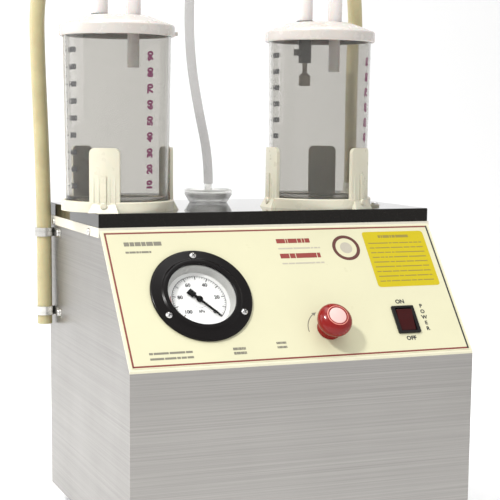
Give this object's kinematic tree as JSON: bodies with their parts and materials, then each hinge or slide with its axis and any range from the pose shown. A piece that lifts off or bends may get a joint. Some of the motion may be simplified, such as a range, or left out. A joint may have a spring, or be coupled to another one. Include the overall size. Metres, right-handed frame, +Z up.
{
  "type": "suction pump",
  "caption": "Bench-top suction pump: sloped panel with vacuum gauge, regulator and switch, and two lidded collecting jars on a glossy deck with hose and filter.",
  "frame": {"origin": "on the standing surface, under the middle of the object without its free hoses", "axes": "+Z up, +X to the right of a person facing the control panel, +Y from the control panel towards the rear cover"},
  "size_m": [0.409, 0.3334, 0.7537],
  "materials": {
    "steel_sheet": "satin brushed stainless sheet",
    "zinc_sheet": "plain zinc-coated sheet, matt",
    "panel_sheet": "cream painted sheet, semi-gloss",
    "overlay_film": "printed cream film, slightly glossy",
    "frame_sheet": "off-white painted folded sheet",
    "black_board": "black laminate with a mirror gloss",
    "rubber": "matt black moulded rubber",
    "screw_steel": "bright plated",
    "holder_plastic": "cream moulded plastic, semi-gloss",
    "clear_plastic": "clear moulded plastic, glossy, faintly grey",
    "lid_plastic": "milky white moulded plastic",
    "seal_silicone": "soft translucent silicone",
    "port_plastic": "milky white moulded plastic",
    "dark_plastic": "dark moulded plastic",
    "float_plastic": "grey-brown light plastic",
    "filter_plastic": "translucent grey-white moulded plastic",
    "membrane": "white fibre disc",
    "nylon": "natural nylon",
    "latex": "amber-yellow latex, waxy",
    "pvc_tube": "clear flexible tube",
    "clip_steel": "spring steel",
    "gauge_black": "black enamelled flange",
    "gauge_steel": "black painted steel cup",
    "gauge_grey": "light grey ring",
    "gauge_glass": "clear flat glass",
    "dial_face": "white printed dial",
    "brass": "machined",
    "pointer_black": "matt black",
    "knob_red": "red moulded plastic",
    "cap_white": "pinkish white printed disc",
    "switch_black": "black moulded plastic",
    "rocker_red": "dark red translucent lens",
    "motor_aluminium": "cast, matt",
    "stator_iron": "laminated iron with varnish",
    "bearing_steel": "ground steel",
    "rotor_steel": "turned steel",
    "fan_plastic": "black moulded plastic",
    "pump_iron": "machined grey cast iron",
    "vane_composite": "dark laminated composite",
    "plate_steel": "grey painted plate",
    "silencer_bronze": "sintered bronze"
  },
  "bodies": {
    "cabinet": {"base_plate": "zinc_sheet", "cabinet_shell": "steel_sheet", "control_panel": "panel_sheet", "panel_overlay": "overlay_film", "deck_frame": "frame_sheet", "deck_board": "black_board", "rear_cover": "steel_sheet", "rubber_feet": "rubber", "machine_screws": "screw_steel", "holder_left": "holder_plastic", "holder_right": "holder_plastic", "jar_right": "clear_plastic", "lid_right": "lid_plastic", "seal_right": "seal_silicone", "connectors_right": "port_plastic", "float_cage": "dark_plastic", "filter_body": "filter_plastic", "filter_membrane": "membrane", "filter_cover": "filter_plastic", "filter_socket": "nylon", "hose_nozzle": "nylon", "hose_clips": "clip_steel", "suction_hose": "latex", "clear_tube": "pvc_tube", "vacuum_tubes": "pvc_tube", "gauge_flange": "gauge_black", "gauge_case": "gauge_steel", "gauge_ring": "gauge_grey", "gauge_glass": "gauge_glass", "gauge_dial": "dial_face", "gauge_movement": "brass", "bourdon_tube": "brass", "gauge_screws": "screw_steel", "regulator_body": "brass", "switch_housing": "switch_black", "motor_housing": "motor_aluminium", "motor_stator": "stator_iron", "motor_bearings": "bearing_steel", "pump_cylinder": "pump_iron", "pump_covers": "pump_iron", "unit_plate": "plate_steel", "unit_mounts": "rubber", "silencer": "silencer_bronze", "mains_inlet": "switch_black"},
    "left_jar": {"jar_left": "clear_plastic"},
    "left_lid": {"lid_left": "lid_plastic", "seal_left": "seal_silicone", "connectors_left": "port_plastic"},
    "float": {"float_valve": "float_plastic"},
    "pointer": {"gauge_pointer": "pointer_black"},
    "knob": {"regulator_knob": "knob_red", "knob_cap": "cap_white", "regulator_spindle": "rotor_steel"},
    "needle": {"regulator_needle": "brass"},
    "rocker": {"switch_rocker": "rocker_red"},
    "drive": {"motor_rotor": "rotor_steel", "cooling_fan": "fan_plastic", "pump_rotor": "pump_iron", "pump_vanes": "vane_composite"},
    "fuse_holder": {"fuse_drawer": "dark_plastic"}
  },
  "joints": [
    {"name": "jar_lift", "type": "slide", "parent": "cabinet", "child": "left_jar", "axis": [0, 0, 1], "range_m": [0, 0.1]},
    {"name": "lid_lift", "type": "slide", "parent": "left_jar", "child": "left_lid", "axis": [0, 0, 1], "range_m": [0, 0.05]},
    {"name": "float_rise", "type": "slide", "parent": "cabinet", "child": "float", "axis": [0, 0, 1], "range_m": [0, 0.009]},
    {"name": "pointer_turn", "type": "hinge", "parent": "cabinet", "child": "pointer", "pos_m": [-0.0885, -0.10472, 0.27074], "axis": [0, -0.7761, 0.6306], "range_deg": [0, 270], "stiffness_Nm_per_rad": 0.002},
    {"name": "knob_turn", "type": "hinge", "parent": "cabinet", "child": "knob", "pos_m": [0.041, -0.14569, 0.24411], "axis": [0, -0.7761, 0.6306], "range_deg": [0, 270]},
    {"name": "needle_travel", "type": "slide", "parent": "cabinet", "child": "needle", "axis": [0, -0.7761, 0.6306], "range_m": [0, 0.00076]},
    {"name": "rocker_tilt", "type": "hinge", "parent": "cabinet", "child": "rocker", "pos_m": [0.1328, -0.1315, 0.24096], "axis": [-1, 0, 0], "range_deg": [0, 16]},
    {"name": "drive_turn", "type": "hinge", "parent": "cabinet", "child": "drive", "pos_m": [0, 0.03, 0.112], "axis": [1, 0, 0], "continuous": true},
    {"name": "fuse_pull", "type": "slide", "parent": "cabinet", "child": "fuse_holder", "axis": [0, 1, 0], "range_m": [0, 0.018]}
  ],
  "couplings": [
    {"joint": "needle_travel", "follows": "knob_turn", "m_per_rad": 0.00015915}
  ]
}
